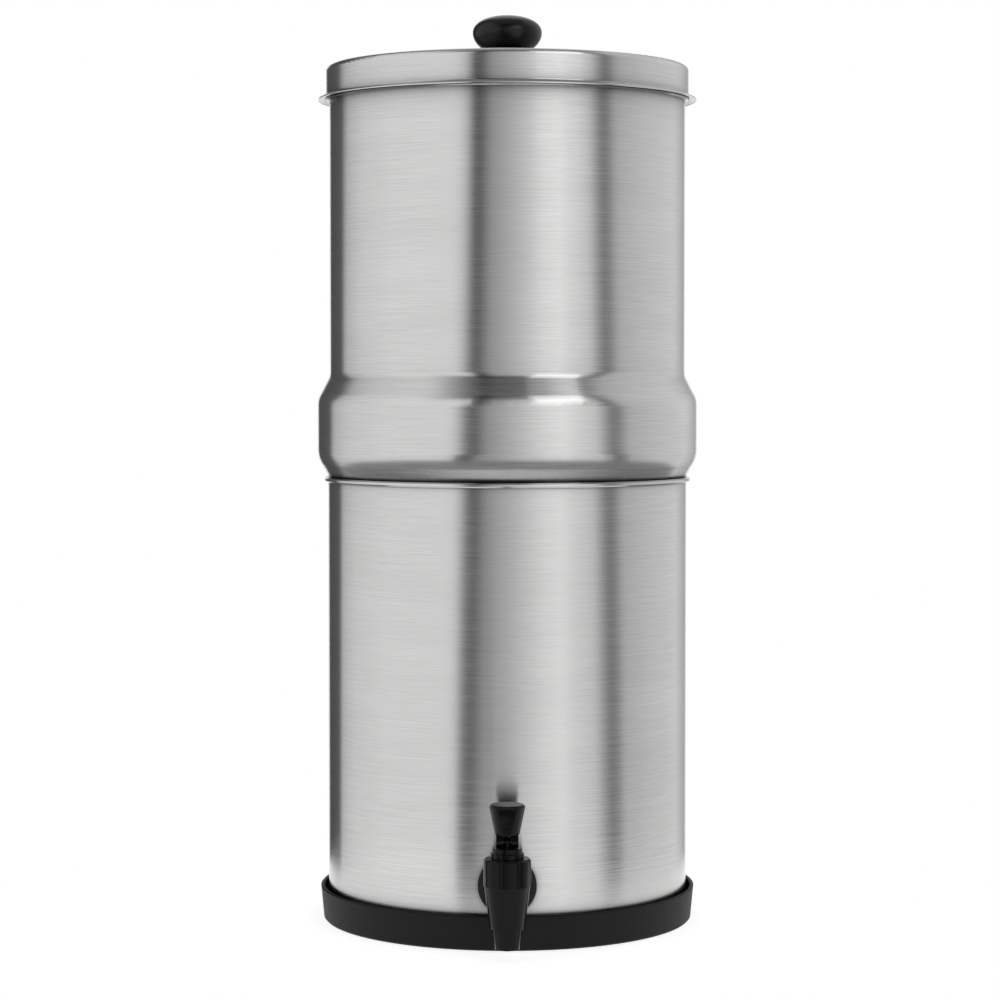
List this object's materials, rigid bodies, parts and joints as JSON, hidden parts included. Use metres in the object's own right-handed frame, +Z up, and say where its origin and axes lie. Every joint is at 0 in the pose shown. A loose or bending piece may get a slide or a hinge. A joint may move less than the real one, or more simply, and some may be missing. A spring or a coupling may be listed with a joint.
{
  "type": "gravity water filter with tap",
  "caption": "Nested cylindrical steel chambers with a bulged waist, drum lid and knob, base ring, lever tap near the foot and a filter cartridge on the inner floor.",
  "frame": {"origin": "on the chambers' axis, level with the underside of the base ring, at the mouth of the ring's opening", "axes": "+Z up along the chambers' axis, -Y towards the tap, +X to the right seen from the tap's side"},
  "size_m": [0.2352, 0.2725, 0.5592],
  "materials": {
    "brushed_steel": "brushed round the axis",
    "fastener_steel": "plain",
    "base_rubber": "satin",
    "knob_plastic": "gloss",
    "tap_plastic": "gloss",
    "seal_rubber": "matte",
    "silicone": "matte",
    "filter_plastic": "moulded satin",
    "filter_media": "wound fibre sheet",
    "carbon_block": "sintered"
  },
  "bodies": {
    "dispenser": {"base_ring": "base_rubber", "lower_chamber": "brushed_steel", "tap_body": "tap_plastic", "tap_outer_washer": "seal_rubber", "tap_inner_washer": "seal_rubber", "tap_nut": "tap_plastic", "tap_bonnet": "tap_plastic"},
    "upper_tank": {"upper_chamber": "brushed_steel", "filter_top_cap": "filter_plastic", "filter_bottom_cap": "filter_plastic", "filter_wrap": "filter_media", "filter_core": "carbon_block", "filter_stem": "filter_plastic", "filter_washer": "seal_rubber", "filter_wing_nut": "filter_plastic", "blocking_plug": "filter_plastic", "plug_washer": "seal_rubber", "plug_nut": "filter_plastic"},
    "lid_set": {"lid": "brushed_steel", "lid_knob": "knob_plastic", "knob_screw": "fastener_steel", "knob_washer": "fastener_steel"},
    "valve": {"tap_stem": "tap_plastic", "seat_cup": "silicone", "lever_pin": "fastener_steel"},
    "lever": {"tap_lever": "tap_plastic"}
  },
  "joints": [
    {"name": "upper_chamber_lift", "type": "slide", "parent": "dispenser", "child": "upper_tank", "axis": [0, 0, 1], "range_m": [0, 0.08]},
    {"name": "lid_lift", "type": "slide", "parent": "upper_tank", "child": "lid_set", "axis": [0, 0, 1], "range_m": [0, 0.1]},
    {"name": "stem_lift", "type": "slide", "parent": "dispenser", "child": "valve", "axis": [0, 0, 1], "range_m": [0, 0.00361]},
    {"name": "lever_tilt", "type": "hinge", "parent": "valve", "child": "lever", "pos_m": [0, -0.1412, 0.0688], "axis": [1, 0, 0], "range_deg": [0, 80], "stiffness_Nm_per_rad": 0.02, "springref_deg": -20.05}
  ],
  "couplings": [
    {"joint": "stem_lift", "follows": "lever_tilt", "m_per_rad": 0.0025783}
  ]
}
